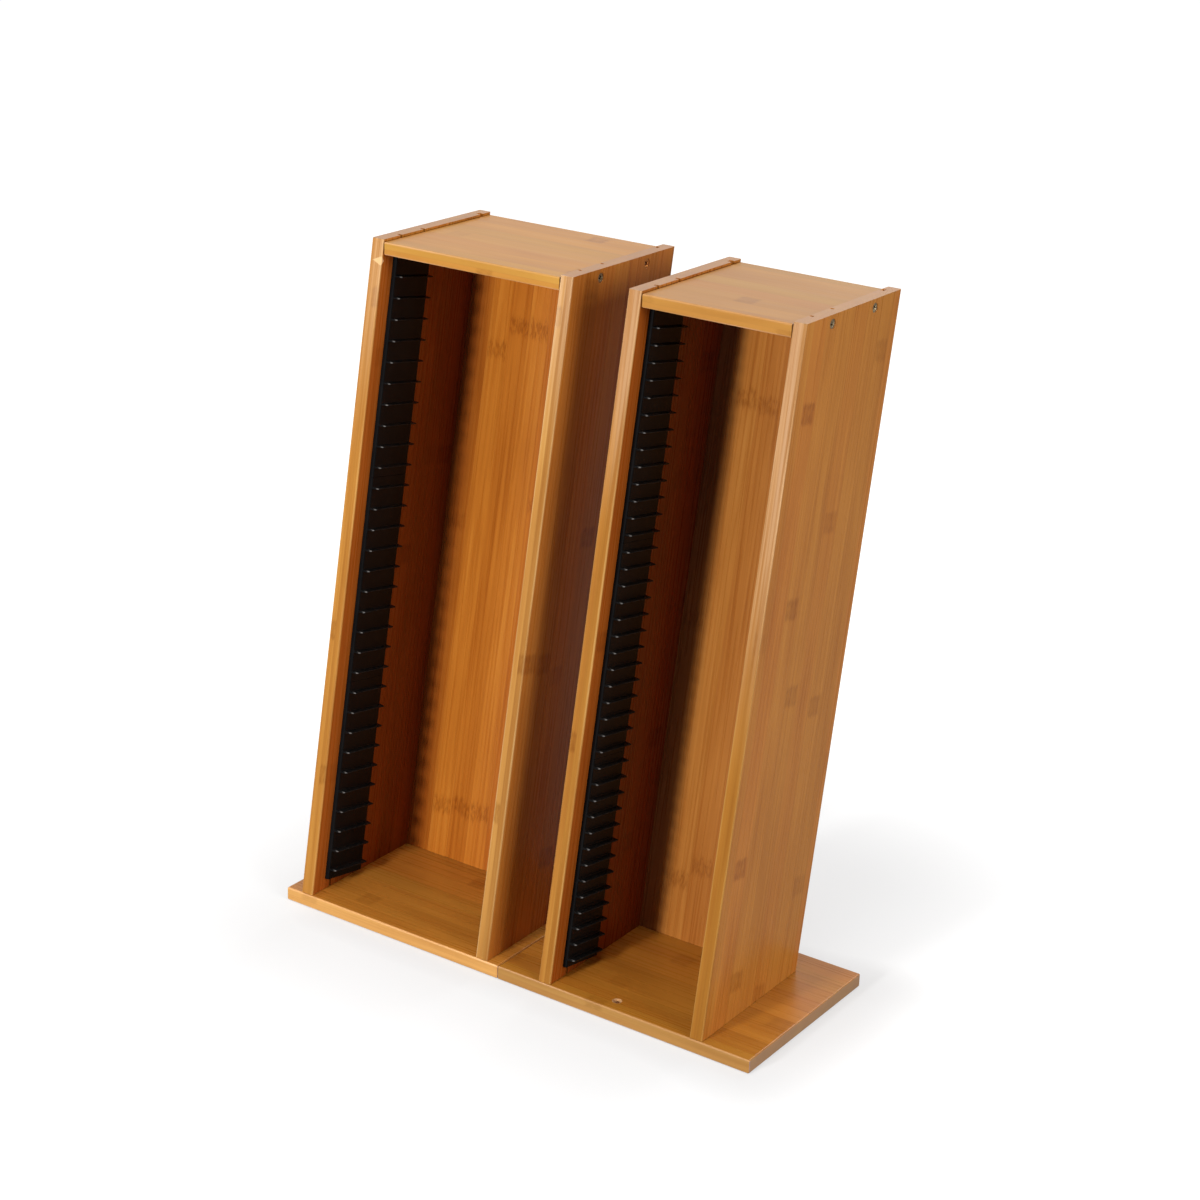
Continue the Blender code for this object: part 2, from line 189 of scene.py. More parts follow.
# Caramelised bamboo, pressed from strips that lie in two plies
# Eases are (start, end), or (start, end, low, high) where they don't run from 0 to 1
bamboo = {
    "strip": 0.021,
    "ply": 0.0063,
    "skin": 0.0003,
    "stagger": 0.5,
    "stripShift": 9.0,
    "tones": [
        (0.0, (0.26, 0.070, 0.009)),
        (0.35, (0.43, 0.145, 0.020)),
        (0.65, (0.54, 0.205, 0.032)),
        (1.0, (0.68, 0.310, 0.062)),
    ],
    "toneFactor": (1.0, 1.0, 1.0),
    "middleTone": 0.52,
    "tint": 0.22,
    "streak": 0.66,
    "cloud": 0.60,
    "rosy": (1.03, 0.97, 0.97),
    "ochre": (0.97, 1.03, 1.02),
    "noises": {
        "coarse": {"stretch": 0.016, "scale": 330.0, "detail": 2.5, "rough": 0.52},
        "fine": {"stretch": 0.012, "scale": 1900.0, "detail": 2.0, "rough": 0.55},
        "broad": {"stretch": 0.16, "scale": 42.0, "detail": 2.0, "rough": 0.5},
        "zigzag": {"stretch": 0.05, "scale": 420.0, "detail": 1.0, "rough": 0.5, "warp": 0.2},
        "dashes": {"stretch": 0.30, "scale": 480.0, "detail": 2.0, "rough": 0.6, "warp": 0.2},
    },
    "veneerWarp": 0.45,
    "glue": (0.22, 0.075, 0.016),
    "fleckEase": (0.56, 0.74, 0.0, 0.09),
    "seamEase": (0.00035, 0.0, 0.0, 0.15),
    "knuckle": (0.64, 0.54, 0.43),
    "knuckleShare": 0.85,
    "knuckleMiddle": 0.8,
    "knuckleEdge": 0.0002,
    "stripKnuckle": {"tall": 0.0105, "core": 0.0062, "jag": 0.006, "fade": 0.003, "ground": 0.6},
    "veneerKnuckle": {"tall": 0.0105, "core": 0.0035, "jag": 0.016, "fade": 0.0012, "ground": 0.15},
    "dashEase": (0.40, 0.56),
    "plyShift": 0.13,
    "spareStrips": 3,
    "drawnFirst": (0.0, 0.3),
    "drawnSpacing": (0.27, 0.42),
    "drawnStrength": (0.3, 1.0),
    "endGrain": (0.46, 0.30, 0.185),
    "endEase": (0.75, 0.95),
    "endShare": 0.6,
    "arris": 0.0018,
    # Paler arrises: partly wear, partly painted highlight along the rounded edges
    "wearAndHighlight": (0.74, 0.40, 0.13),
    "wearAndHighlightFull": 0.0004,
    "wearAndHighlightGrain": (0.35, 0.7, 0.10, 0.45),
    "faceFull": 0.0002,
    "frontPly": (0.0055, 0.0062),
    # Painted light: the front edge made paler higher up
    "lighterTone": (0.85, 0.58, 0.38),
    "paintedLightGrain": (0.36, 0.62, 0.45, 1.45),
    # Painted shade on the inner face of the left walls, lighter in the band before the strips
    "innerFrontPaintedShade": (0.80, 0.56, 0.46),
    "innerPaintedShade": (0.46, 0.27, 0.22),
    "innerStart": (0.0012, 0.0022),
    "innerDeep": (0.012, 0.030),
    "ceilingBlur": 0.0003,
    # Painted shadow on the back panel beside the left wall
    "paintedCornerShadow": (0.50, 0.40, 0.45),
    "paintedCornerShadowEase": (0.036, 0.012),
    # Painted shade in the joints at the top board's ends
    "joint": (0.05, 0.016, 0.005),
    "jointEase": (0.0011, 0.0004, 0.0, 0.8),
    "edgeSpot": (0.86, 0.56, 0.27),
    "edgeSpotSlant": 0.45,
    "edgeSpotDepth": 1.2,
    "edgeSpotEase": (0.0046, 0.0034, 0.0, 0.85),
    "bare": (0.62, 0.34, 0.15),
    "holeEase": (0.00425, 0.00405),
    "fineRelief": 0.5,
    "knuckleRelief": -0.6,
    "bumpStrength": 0.22,
    "bumpDepth": 0.00025,
    "satin": 0.21,
    "grainRough": 0.14,
    "endRough": 0.12,
    "frontRough": 0.30,
    "bareRough": 0.40,
    "sheen": 0.18,
    "sheenTint": (1.0, 0.97, 0.91, 1.0),
    "ior": 1.5,
}

# How each board's strips lie and where the first one starts; the tone factor and front are factors on the
# tones
# The pale entry paints light on the front edge, paler higher up (start, end, share), and hole is a place
# (along, across)
# Knuckles are (first height, spacing, strength), strip by strip
boards = {
    "left_base_board": {
        "kind": "flat", "seed": 3, "firstStrip": -0.004, "toneFactor": (0.90, 0.95, 0.85), "streak": 0.5,
        "sheen": 0.36, "front": (1.65, 2.16, 4.60),
    },
    "right_base_board": {
        "kind": "flat", "seed": 8, "firstStrip": -0.010, "toneFactor": (0.84, 0.87, 0.66), "streak": 0.38,
        "sheen": 0.30, "front": (1.18, 1.48, 3.50), "hole": (0.112, 0.014),
    },
    "left_tower_top_board": {
        "kind": "flat", "seed": 21, "firstStrip": -0.006, "toneFactor": (1.00, 1.13, 0.64), "streak": 0.16,
        "tint": 0.10, "sheen": 0.36, "satin": 0.28, "front": (1.12, 1.25, 2.65), "joined": True,
    },
    "right_tower_top_board": {
        "kind": "flat", "seed": 34, "firstStrip": -0.013, "toneFactor": (0.88, 1.01, 0.62), "streak": 0.16,
        "tint": 0.10, "sheen": 0.36, "satin": 0.28, "front": (1.15, 1.31, 2.90), "joined": True,
    },
    "left_tower_left_side": {
        "kind": "leftSide", "seed": 5, "firstStrip": -0.007, "front": (0.93, 1.08, 1.28),
        "paintedPaleLight": (0.38, 0.56, 0.18), "edgeSpot": 0.562,
    },
    # Its darker tone factor is partly painted shade, for the outer face shaded by the other rack
    "left_tower_right_side": {
        "kind": "rightSide", "seed": 13, "firstStrip": -0.003, "toneFactor": (0.90, 0.82, 0.76),
        "front": (1.04, 1.49, 2.45), "outerFront": (0.81, 1.06, 1.57), "paintedPaleLight": (0.42, 0.58, 0.25),
    },
    "right_tower_left_side": {
        "kind": "leftSide", "seed": 27, "firstStrip": -0.011, "toneFactor": (0.92, 0.86, 0.80),
        "front": (0.87, 1.03, 1.22), "paintedPaleLight": (0.38, 0.52, 0.22),
    },
    "right_tower_right_side": {
        "kind": "rightSide", "seed": 41, "firstStrip": -0.0095, "tint": 0.08,
        "front": (0.77, 0.89, 0.88), "outerFront": (0.70, 0.76, 0.71), "paintedPaleLight": (0.20, 0.47, 0.26),
        "knuckles": [
            (0.330, 0.41, 0.2),
            (0.142, 0.368, 1.0),
            (0.041, 0.312, 0.8),
            (0.279, 0.33, 0.7),
            (0.019, 0.40, 0.6),
            (0.264, 0.35, 0.7),
            (0.105, 0.45, 0.5),
            (0.210, 0.38, 0.3),
        ],
    },
    "left_tower_back_panel": {
        "kind": "back", "seed": 55, "firstStrip": -0.014, "toneFactor": (1.01, 0.86, 0.63), "streak": 0.95,
        "sheen": 0.42,
        "knuckles": [
            (0.18, 0.50, 0.5),
            (0.33, 0.50, 0.6),
            (0.069, 0.42, 0.9),
            (0.072, 0.44, 1.0),
            (0.073, 0.44, 1.0),
            (0.36, 0.50, 0.7),
            (0.27, 0.50, 0.8),
            (0.16, 0.50, 0.6),
            (0.31, 0.50, 0.8),
            (0.24, 0.50, 0.5),
            (0.12, 0.50, 0.7),
        ],
    },
    "right_tower_back_panel": {
        "kind": "back", "seed": 62, "firstStrip": -0.016, "toneFactor": (0.90, 0.87, 1.08), "streak": 0.90,
        "sheen": 0.42,
        "knuckles": [
            (0.21, 0.50, 0.5),
            (0.30, 0.50, 0.6),
            (0.074, 0.42, 0.9),
            (0.091, 0.40, 0.8),
            (0.26, 0.50, 0.7),
            (0.35, 0.50, 0.6),
            (0.15, 0.50, 0.8),
            (0.23, 0.50, 0.6),
            (0.32, 0.50, 0.5),
        ],
    },
}


def boardAxes(g, node, kind):  # distances across the strips, below the show face and along the grain
    low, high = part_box(node)
    if kind == "flat":
        x, y, z = g.split(g.place())
        return g.math("SUBTRACT", y, low.y), g.math("SUBTRACT", high.z, z), g.math("SUBTRACT", x, low.x)
    turn = Matrix.Rotation(lean, 3, "X")
    shift = -(turn @ Vector((0.0, towerFront, baseTop)))
    values = {"Vector": g.place(), "Location": shift, "Rotation": (lean, 0.0, 0.0)}
    x, depth, height = g.split(g.add("ShaderNodeMapping", values).outputs[0])
    if kind == "leftSide":
        return depth, g.math("SUBTRACT", x, low.x), height
    if kind == "rightSide":
        return depth, g.math("SUBTRACT", high.x, x), height
    return g.math("SUBTRACT", x, low.x), g.math("SUBTRACT", depth, tower["backFrom"]), height


def boardSpan(node, kind):  # the board's size across its strips and through its plies
    low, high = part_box(node)
    if kind == "flat":
        return high.y - low.y, high.z - low.z
    if kind == "back":
        return high.x - low.x, tower["backThickness"]
    return tower["sideDepth"], high.x - low.x


def grainNoise(g, wood, name, **changes):  # noise drawn out along the grain, moved on from strip to strip
    look = {**bamboo["noises"][name], **changes}
    drawnOut = g.math("MULTIPLY", wood.moved, look.pop("stretch"))
    return g.noise(g.join(wood.across, wood.thick, drawnOut), **look)


def boardGrain(g, node, board):  # the sockets that the layers of a board's finish share
    wood = SimpleNamespace()
    wood.across, wood.thick, wood.along = boardAxes(g, node, board["kind"])
    wood.width, wood.thickness = boardSpan(node, board["kind"])
    layer = g.math("DIVIDE", g.math("ADD", wood.thick, bamboo["skin"]), bamboo["ply"])
    wood.ply = g.math("FLOOR", layer)
    row = g.math("DIVIDE", g.math("SUBTRACT", wood.across, board["firstStrip"]), bamboo["strip"])
    row = g.math("MULTIPLY_ADD", wood.ply, bamboo["stagger"], row)  # the second ply lies half a strip over
    wood.strip = g.math("FLOOR", row)
    wood.toEdge = g.times(g.fromEnds(g.math("FRACT", row), 1.0), bamboo["strip"])
    wood.toPly = g.times(g.fromEnds(g.math("FRACT", layer), 1.0), bamboo["ply"])
    lot = g.add("ShaderNodeTexWhiteNoise", {"Vector": g.join(wood.strip, wood.ply, float(board["seed"]))})
    wood.tint, shift, wood.drift = g.split(lot.outputs["Color"])
    wood.moved = g.math("MULTIPLY_ADD", shift, bamboo["stripShift"], wood.along)
    warp = bamboo["veneerWarp"] if board["kind"] == "back" else 0.0
    wood.coarse = grainNoise(g, wood, "coarse", warp=warp)
    wood.fine = grainNoise(g, wood, "fine")
    grain = (1.0, 0.0, 0.0) if board["kind"] == "flat" else (0.0, math.sin(lean), math.cos(lean))
    facing = g.math("ABSOLUTE", g.vector("DOT_PRODUCT", g.normal(), grain))
    wood.endOn = g.ease(facing, *bamboo["endEase"])
    return wood


def stripColour(g, wood, board):  # the strips' tones and fibres, with glue lines between strips and plies
    tone = g.sway(wood.tint, board.get("tint", bamboo["tint"]), bamboo["middleTone"])
    tone = g.sway(wood.coarse, board.get("streak", bamboo["streak"]), tone)
    tone = g.sway(grainNoise(g, wood, "broad"), bamboo["cloud"], tone)
    toneFactor = board.get("toneFactor", bamboo["toneFactor"])
    colour = g.ramp(tone, [(place, tuple(np.multiply(shade, toneFactor))) for place, shade in bamboo["tones"]])
    colour = g.mix(1.0, colour, g.mix(wood.drift, bamboo["rosy"], bamboo["ochre"]), "MULTIPLY")
    colour = g.mix(g.ease(wood.fine, *bamboo["fleckEase"]), colour, bamboo["glue"])
    seam = g.ease(g.math("MINIMUM", wood.toEdge, wood.toPly), *bamboo["seamEase"])
    return g.mix(seam, colour, bamboo["glue"])


def chosenKnuckles(board, count):  # the board's own knuckles, or else drawn ones for each strip
    if "knuckles" in board:
        return board["knuckles"]
    draw = np.random.default_rng(board["seed"])
    first = draw.uniform(*bamboo["drawnFirst"], count)
    spacing = draw.uniform(*bamboo["drawnSpacing"], count)
    strength = draw.uniform(*bamboo["drawnStrength"], count)
    return list(zip(first.tolist(), spacing.tolist(), strength.tolist()))


def knuckleBand(g, wood, board):  # a ragged dark band where the strip crosses a joint of the cane
    count = int(wood.width / bamboo["strip"]) + bamboo["spareStrips"]
    stops = [(i / count, knuckle) for i, knuckle in enumerate(chosenKnuckles(board, count))]
    share = g.math("DIVIDE", g.math("ADD", wood.strip, 0.5), float(count))
    first, spacing, strength = g.split(g.ramp(share, stops, "CONSTANT"))
    staggered = g.math("MULTIPLY_ADD", wood.ply, bamboo["plyShift"], wood.along)
    turns = g.math("DIVIDE", g.math("SUBTRACT", staggered, first), spacing)
    off = g.times(g.math("SUBTRACT", g.math("FRACT", g.math("ADD", turns, 0.5)), 0.5), spacing)
    mark = bamboo["veneerKnuckle"] if board["kind"] == "back" else bamboo["stripKnuckle"]
    off = g.math("ABSOLUTE", g.sway(grainNoise(g, wood, "zigzag"), mark["jag"], off))
    return g.times(
        g.ease(off, mark["tall"], mark["core"]),
        g.ease(off, 0.0, mark["core"], bamboo["knuckleMiddle"], 1.0),
        g.ease(wood.toEdge, bamboo["knuckleEdge"], mark["fade"]),
        g.ease(grainNoise(g, wood, "dashes"), *bamboo["dashEase"], mark["ground"], 1.0),
        strength,
    )


def endsAndArrises(g, wood, colour):  # cut ends drink more stain, and the arrises are made paler, partly wear and partly painted highlight
    colour = g.mix(g.times(wood.endOn, bamboo["endShare"]), colour, bamboo["endGrain"])
    toSide = g.fromEnds(wood.across, wood.width)
    toFace = g.fromEnds(wood.thick, wood.thickness)
    wearAndHighlight = g.ease(g.math("MAXIMUM", toSide, toFace), bamboo["arris"], bamboo["wearAndHighlightFull"])
    return g.mix(g.times(wearAndHighlight, g.ease(wood.coarse, *bamboo["wearAndHighlightGrain"])), colour, bamboo["wearAndHighlight"])


def frontEdge(g, wood, board, front, colour):  # often of two other strips, and painted paler higher up as painted light
    outer = board.get("outerFront", board["front"])
    edge = g.mix(g.ease(wood.thick, *bamboo["frontPly"]), outer, board["front"])
    colour = g.mix(front, colour, edge, "MULTIPLY")
    if "paintedPaleLight" not in board:
        return colour
    start, end, share = board["paintedPaleLight"]
    # painted light, growing paler up the front edge
    lighterTone = g.times(front, g.ease(wood.along, start, end, 0.0, share))
    lighterTone = g.times(lighterTone, g.ease(wood.coarse, *bamboo["paintedLightGrain"]))
    return g.mix(lighterTone, colour, bamboo["lighterTone"])


def paintInnerShade(g, wood, node, colour):  # painted shade on the inner face below the top board, deepest behind the strips
    face = wood.thickness - bamboo["arris"], wood.thickness - bamboo["faceFull"]
    inner = g.times(g.ease(wood.thick, *face), g.ease(wood.across, *bamboo["innerStart"]))
    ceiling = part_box(node.replace("left_side", "top_board"))[1].z
    below = ceiling + bamboo["ceilingBlur"], ceiling - bamboo["ceilingBlur"]
    inner = g.times(inner, g.ease(g.split(g.place())[2], *below))
    deep = g.ease(wood.across, *bamboo["innerDeep"])
    return g.mix(inner, colour, g.mix(deep, bamboo["innerFrontPaintedShade"], bamboo["innerPaintedShade"]), "MULTIPLY")


def edgeSpotMark(g, wood, board, colour):  # small pale spot on the front edge, narrowing to the outside
    off = g.math("ABSOLUTE", g.math("SUBTRACT", wood.along, board["edgeSpot"]))
    off = g.math("MULTIPLY_ADD", g.math("SUBTRACT", wood.thickness, wood.thick), bamboo["edgeSpotSlant"], off)
    off = g.math("MULTIPLY_ADD", wood.across, bamboo["edgeSpotDepth"], off)
    return g.mix(g.ease(off, *bamboo["edgeSpotEase"]), colour, bamboo["edgeSpot"])


def holeWall(g, wood, board):  # 1 within the drilled hole's radius of its axis
    alongHole, acrossHole = board["hole"]
    away = g.vector("SUBTRACT", g.join(wood.along, wood.across, 0.0), (alongHole, acrossHole, 0.0))
    return g.ease(g.vector("LENGTH", away), *bamboo["holeEase"])


def bambooFinish(node, board):
    g = Graph(bpy.data.materials.new(f"bamboo_{node}"))
    wood = boardGrain(g, node, board)
    band = knuckleBand(g, wood, board)
    colour = stripColour(g, wood, board)
    colour = g.mix(g.times(band, bamboo["knuckleShare"]), colour, bamboo["knuckle"], "MULTIPLY")
    colour = endsAndArrises(g, wood, colour)
    rough = g.math("MULTIPLY_ADD", wood.coarse, bamboo["grainRough"], board.get("satin", bamboo["satin"]))
    rough = g.math("MULTIPLY_ADD", wood.endOn, bamboo["endRough"], rough)
    if "front" in board:  # the sawn front edge is duller than the faces
        front = g.ease(wood.across, bamboo["arris"], bamboo["faceFull"])
        colour = frontEdge(g, wood, board, front, colour)
        rough = g.math("MULTIPLY_ADD", front, bamboo["frontRough"], rough)
    # painted shade on the wall inside the bay
    if board["kind"] == "leftSide":
        colour = paintInnerShade(g, wood, node, colour)
    if board["kind"] == "back":  # painted shadow in the back panel's corner beside the left wall
        corner = g.ease(wood.across, *bamboo["paintedCornerShadowEase"])
        colour = g.mix(corner, colour, bamboo["paintedCornerShadow"], "MULTIPLY")
    if "joined" in board:  # painted shade in the joint at either end
        low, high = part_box(node)
        toEnd = g.fromEnds(wood.along, high.x - low.x)
        colour = g.mix(g.ease(toEnd, *bamboo["jointEase"]), colour, bamboo["joint"])
    if "edgeSpot" in board:
        colour = edgeSpotMark(g, wood, board, colour)
    if "hole" in board:  # bare wood in the drilled hole
        bare = holeWall(g, wood, board)
        colour = g.mix(bare, colour, bamboo["bare"])
        rough = g.math("MULTIPLY_ADD", bare, bamboo["bareRough"], rough)
    height = g.math("MULTIPLY_ADD", wood.fine, bamboo["fineRelief"], wood.coarse)
    height = g.math("MULTIPLY_ADD", band, bamboo["knuckleRelief"], height)
    return g.finish("Principled BSDF", {
        "Base Color": colour,
        "Roughness": rough,
        "Normal": g.bump(height, bamboo["bumpStrength"], bamboo["bumpDepth"]),
        "IOR": bamboo["ior"],
        "Specular IOR Level": board.get("sheen", bamboo["sheen"]),
        "Specular Tint": bamboo["sheenTint"],
    })


for node, board in boards.items():
    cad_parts[node].material_slots[0].material = bambooFinish(node, board)
print("bamboo boards finished:", len(boards))


# Finned slot strips of black moulded plastic
strips = {
    "fromFront": 0.0155,
    "width": 0.0465,
    "plate": 0.004,
    "plateEdge": 0.0012,
    "plateSteps": 5,
    "plainHead": 0.0085,
    "wallGap": 0.0003,
    "tongueSpacing": 0.0306,
    "tongueHalf": 0.001,
    "tongueDepth": 0.0036,
    "reach": 0.006,
    "rootHalf": 0.0008,
    "tipHalf": 0.0005,
    "tipSteps": 8,
    "fillet": 0.0007,
    "filletSteps": 4,
    "finInset": 0.0005,
    "nose": 0.0045,
    "noseSteps": 9,
    "heel": 0.0015,
    "heelSteps": 5,
    "pitch": {"left": 0.0182, "right": 0.0140},
    "black": (0.0052, 0.0053, 0.0056),
    "cloud": {"scale": 55.0, "detail": 3.0, "rough": 0.55},
    "clouded": (0.011, 0.0104, 0.010),
    "cloudEase": (0.3, 0.75, 0.0, 0.35),
    "scuff": {"scale": 900.0, "detail": 3.0, "rough": 0.65, "warp": 0.4},
    "scuffStretch": (1.0, 0.25, 1.0),
    "lighterTone": (0.022, 0.021, 0.020),
    "tipEase": (0.80, 1.0),
    "tipScuff": (0.4, 0.7, 0.1, 0.7),
    # Painted highlight on each fin's front nose
    "paintedNoseHighlight": (0.16, 0.154, 0.148),
    "noseHighlightDepth": 0.0022,
    "noseHighlightSpread": 0.0010,
    "noseHighlightEase": (0.2, 0.8),
    "dust": (0.06, 0.055, 0.05),
    "dustFacing": (0.6, 1.0),
    "dustScuff": (0.45, 0.8, 0.0, 0.35),
    "grit": {"scale": 2600.0, "detail": 2.0, "rough": 0.6},
    "gritStrength": 0.12,
    "gritDepth": 0.0001,
    "satin": 0.14,
    "cloudRough": 0.10,
    "scuffRough": 0.08,
    "sheen": 0.07,
    "ior": 1.45,
}


def plasticFinish():
    s = strips
    g = Graph(bpy.data.materials.new("black_moulding"))
    place = g.place()
    cloud = g.noise(place, **s["cloud"])
    scuff = g.noise(g.vector("MULTIPLY", place, s["scuffStretch"]), **s["scuff"])
    colour = g.mix(g.ease(cloud, *s["cloudEase"]), s["black"], s["clouded"])
    tip = g.ease(g.mark("finReach"), *s["tipEase"])
    colour = g.mix(g.times(tip, g.ease(scuff, *s["tipScuff"])), colour, s["lighterTone"])
    # painted highlight on each fin's front nose
    colour = g.mix(g.ease(g.mark("finNoseHighlight"), *s["noseHighlightEase"]), colour, s["paintedNoseHighlight"])
    upward = g.ease(g.split(g.normal())[2], *s["dustFacing"])
    colour = g.mix(g.times(upward, g.ease(scuff, *s["dustScuff"])), colour, s["dust"])
    rough = g.math("MULTIPLY_ADD", cloud, s["cloudRough"], s["satin"])
    return g.finish("Principled BSDF", {
        "Base Color": colour,
        "Roughness": g.math("MULTIPLY_ADD", scuff, s["scuffRough"], rough),
        "Normal": g.bump(g.noise(place, **s["grit"]), s["gritStrength"], s["gritDepth"]),
        "IOR": s["ior"],
        "Specular IOR Level": s["sheen"],
    })


def finProfile():  # a fin edge on, as (along, height): root fillets, thinning flanks and a half-round tip
    s = strips
    left = arc((-s["rootHalf"] - s["fillet"], s["fillet"]), s["fillet"], -90.0, 0.0, s["filletSteps"])
    tip = arc((0.0, s["reach"] - s["tipHalf"]), s["tipHalf"], 180.0, 0.0, s["tipSteps"])
    return np.concatenate([left, tip, left[::-1] * (-1.0, 1.0)])


def stripColumns():  # once round the strip's section: distance from the wall, depth, share of a fin's reach
    s = strips
    face, width, edge = s["plate"], s["width"], s["plateEdge"]
    front, rear = s["finInset"], width - s["finInset"]
    inset = face - edge + math.sqrt(edge**2 - (edge - front) ** 2)  # the plate's round edge at a fin's end
    plateFront = arc((face - edge, edge), edge, -90.0, 0.0, s["plateSteps"])
    plateRear = arc((face - edge, width - edge), edge, 0.0, 90.0, s["plateSteps"])
    nose = arc((s["reach"] - s["nose"], front + s["nose"]), s["nose"], -90.0, 0.0, s["noseSteps"])
    heel = arc((s["reach"] - s["heel"], rear - s["heel"]), s["heel"], 0.0, 90.0, s["heelSteps"])
    reach, depth = np.concatenate([nose, heel]).T
    underFin = np.interp(depth, (front, edge, width - edge, rear), (inset, face, face, inset))
    columns = [(s["wallGap"], 0.0, 0.0)]
    columns += [(x, v, 0.0) for x, v in plateFront if v < front]
    columns += [(inset, front, 0.0)]
    columns += list(zip(underFin, depth, reach / s["reach"]))
    columns += [(inset, rear, 0.0)]
    columns += [(x, v, 0.0) for x, v in plateRear if v > rear]
    columns += [(s["wallGap"], width, 0.0)]
    for side in (1, -1):
        middle = (width + side * s["tongueSpacing"]) / 2.0
        high, low = middle + s["tongueHalf"], middle - s["tongueHalf"]
        columns += [(s["wallGap"], high, 0.0), (-s["tongueDepth"], high, 0.0)]
        columns += [(-s["tongueDepth"], low, 0.0), (s["wallGap"], low, 0.0)]
    return np.array(columns)


def addStrip(node, pitch, isLeft, plainHead, finish):
    s = strips
    low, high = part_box(node)
    rear = s["fromFront"] + s["width"]
    start = (low.z - baseTop + rear * math.sin(lean)) / math.cos(lean)
    length = (high.z - baseTop + s["fromFront"] * math.sin(lean)) / math.cos(lean) - start
    finned = length - plainHead
    count = int((finned - 2.0 * s["rootHalf"]) / pitch) + 1
    levels = (finned - (count - 1) * pitch) / 2.0 + pitch * np.arange(count)
    profile, columns = finProfile(), stripColumns()
    along = np.concatenate([[0.0], (levels[:, None] + profile[:, 0]).ravel(), [length]])
    height = np.concatenate([[0.0], np.tile(profile[:, 1], count), [0.0]])
    # Distance from the wall = plate + fin height across the pitch times the fin's reach along its depth
    out = columns[:, 0] + height[:, None] * columns[:, 2]
    wall = low.x + s["tongueDepth"] if isLeft else high.x - s["tongueDepth"]
    x = wall + (out if isLeft else -out)
    points = towerToRow(x, s["fromFront"] + columns[:, 1], start + along[:, None])
    rows, around = out.shape
    caps = [list(range(around)), list(range((rows - 1) * around, rows * around))]
    faces = gridFaces(rows, around) + caps
    reached = height[:, None] * columns[:, 2] / s["reach"]
    # painted highlight, strongest round one depth near the fin's front
    offDepth = (columns[:, 1] - s["noseHighlightDepth"]) / s["noseHighlightSpread"]
    paintedNoseHighlight = np.exp(-(offDepth**2))  # a bell round one depth
    marks = {"finReach": reached.ravel(), "finNoseHighlight": (reached * paintedNoseHighlight).ravel()}
    addPiece(f"{node}_moulding", points.reshape(-1, 3), faces, finish, node, marks)


plastic = plasticFinish()
heads = {"lower": 0.0, "middle": 0.0, "upper": strips["plainHead"]}  # finless length at a strip's top end
for rack, pitch in strips["pitch"].items():
    for wall in ("left", "right"):
        for level, head in heads.items():
            addStrip(f"{rack}_tower_{wall}_strip_{level}", pitch, wall == "left", head, plastic)
print("slot strips made")


# Countersunk screws with a cross recess
screws = {
    "head": 0.004,
    "land": 0.00015,
    "shank": 0.002,
    "core": 0.0014,
    "length": 0.035,
    "neck": 0.0003,
    "tip": 0.005,
    "thread": 0.0018,
    "ridgeSteep": 2.5,
    "ridgeFlat": 1.5,
    "armHalf": 0.00085,
    "armLength": 0.0027,
    "armFlank": 0.0002,
    "armDeepening": 0.6,
    "recess": 0.0022,
    "around": 48,
    "headRings": 19,
    "bodyRings": 120,
    "perRack": 4,
    "seed": 17,
    "bronze": (0.42, 0.33, 0.20),
    "copper": (0.70, 0.26, 0.06),
    "copperNode": "left_tower_top_screw_4",
    "cloud": {"scale": 700.0, "detail": 3.0, "rough": 0.6},
    "dulled": (0.16, 0.10, 0.055),
    "dullEase": (0.35, 0.75, 0.0, 0.55),
    "tarnish": (0.010, 0.007, 0.005),
    "tarnishEase": (0.05, 0.6, 0.0, 0.92),
    "scratch": {"scale": 6000.0, "detail": 2.0, "rough": 0.6},
    "scratchStretch": (1.0, 1.0, 0.12),
    "scratchStrength": 0.12,
    "scratchDepth": 0.00005,
    "scratchRough": 0.22,
    "satin": 0.24,
}


def screwFinish(name, metal):
    s = screws
    g = Graph(bpy.data.materials.new(name))
    place = g.place()
    scratch = g.noise(g.vector("MULTIPLY", place, s["scratchStretch"]), **s["scratch"])
    colour = g.mix(g.ease(g.noise(place, **s["cloud"]), *s["dullEase"]), metal, s["dulled"])
    colour = g.mix(g.ease(g.mark("recess"), *s["tarnishEase"]), colour, s["tarnish"])
    return g.finish("Principled BSDF", {
        "Base Color": colour,
        "Roughness": g.math("MULTIPLY_ADD", scratch, s["scratchRough"], s["satin"]),
        "Metallic": 1.0,
        "Normal": g.bump(scratch, s["scratchStrength"], s["scratchDepth"]),
    })


def armDepth(run, off):  # deepest at the middle, fading out along the arm and steeply at its flanks
    s = screws
    fade = np.clip(1.0 - run / s["armLength"], 0.0, 1.0) ** s["armDeepening"]
    return fade * np.clip((s["armHalf"] - off) / s["armFlank"], 0.0, 1.0)


